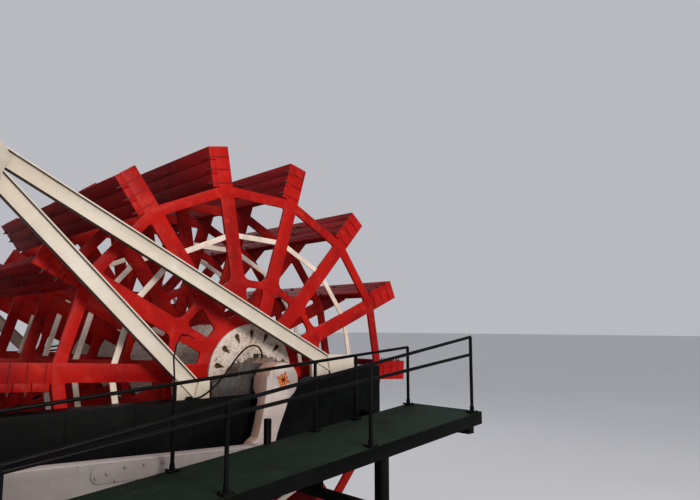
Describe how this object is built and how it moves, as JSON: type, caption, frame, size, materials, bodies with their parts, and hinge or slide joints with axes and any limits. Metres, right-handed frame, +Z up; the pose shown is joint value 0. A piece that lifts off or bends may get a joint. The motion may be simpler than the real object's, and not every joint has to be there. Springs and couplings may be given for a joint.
{
  "type": "stern paddle wheel unit of a paddle steamer",
  "caption": "Stern paddle wheel of a river steamer, with cranks, pitmans, bearing girders, braces and guard decks, fixed by its transom face to the hull.",
  "frame": {"origin": "on the flat forward face of the transom, on the boat's centre line, 1 m below the wheel shaft's axis and 4.6 m forward of it", "axes": "+X aft along the boat, +Y to starboard along the wheel shaft, +Z up; the hull joint faces -X"},
  "size_m": [10.5086, 12.15, 7.599],
  "materials": {
    "wheel_red": "satin red paint, chalked on top and dirty low down",
    "bucket_red": "dark red painted planks, river stained",
    "ring_cream": "cream paint with rust freckles",
    "brace_cream": "semi-gloss cream paint",
    "engine_white": "gloss white paint with rust streaks",
    "hull_black": "black hull paint",
    "deck_green": "matt non-slip deck paint",
    "rail_black": "gloss black paint",
    "bearing_iron": "grey paint over rusty cast iron",
    "shaft_steel": "oiled forged steel",
    "hose_rubber": "matt black rubber"
  },
  "bodies": {
    "stern_frame": {"girder_port": "hull_black", "girder_starboard": "hull_black", "transom": "hull_black", "bearing_block_port": "bearing_iron", "bearing_block_starboard": "bearing_iron", "post_port": "brace_cream", "post_starboard": "brace_cream", "tie_beam": "brace_cream", "long_brace_port": "brace_cream", "short_brace_port": "brace_cream", "long_shoe_port": "brace_cream", "short_shoe_port": "brace_cream", "long_brace_starboard": "brace_cream", "short_brace_starboard": "brace_cream", "long_shoe_starboard": "brace_cream", "short_shoe_starboard": "brace_cream", "guard_deck_port": "deck_green", "guard_deck_starboard": "deck_green", "rail_inner_port": "rail_black", "rail_outer_port": "rail_black", "rail_inner_starboard": "rail_black", "rail_outer_starboard": "rail_black", "grease_hose_port": "hose_rubber", "grease_hose_starboard": "hose_rubber"},
    "paddle_wheel": {"arm_frame_1": "wheel_red", "arm_frame_2": "wheel_red", "arm_frame_3": "wheel_red", "arm_frame_4": "wheel_red", "arm_frame_5": "wheel_red", "cream_ring_1": "ring_cream", "cream_ring_2": "ring_cream", "cream_ring_3": "ring_cream", "cream_ring_4": "ring_cream", "cream_ring_5": "ring_cream", "bucket_01": "bucket_red", "bucket_02": "bucket_red", "bucket_03": "bucket_red", "bucket_04": "bucket_red", "bucket_05": "bucket_red", "bucket_06": "bucket_red", "bucket_07": "bucket_red", "bucket_08": "bucket_red", "bucket_09": "bucket_red", "bucket_10": "bucket_red", "bucket_11": "bucket_red", "bucket_12": "bucket_red", "bucket_13": "bucket_red", "bucket_14": "bucket_red", "wheel_shaft": "shaft_steel", "hub_disc_port": "ring_cream", "hub_disc_2": "ring_cream", "hub_disc_3": "ring_cream", "hub_disc_4": "ring_cream", "hub_disc_starboard": "ring_cream", "crank_port": "engine_white", "crank_starboard": "engine_white"},
    "pitman_port": {"pitman_port": "engine_white"},
    "pitman_starboard": {"pitman_starboard": "engine_white"}
  },
  "joints": [
    {"name": "wheel_spin", "type": "hinge", "parent": "stern_frame", "child": "paddle_wheel", "pos_m": [4.6, 0, 1], "axis": [0, 1, 0], "continuous": true},
    {"name": "pitman_port_pin", "type": "hinge", "parent": "paddle_wheel", "child": "pitman_port", "pos_m": [4.2436, -4.25, -0.1657], "axis": [0, 1, 0], "continuous": true},
    {"name": "pitman_starboard_pin", "type": "hinge", "parent": "paddle_wheel", "child": "pitman_starboard", "pos_m": [5.7657, 4.25, 0.6436], "axis": [0, 1, 0], "continuous": true}
  ],
  "couplings": [
    {"joint": "pitman_port_pin", "follows": "wheel_spin", "ratio": -1},
    {"joint": "pitman_starboard_pin", "follows": "wheel_spin", "ratio": -1}
  ]
}
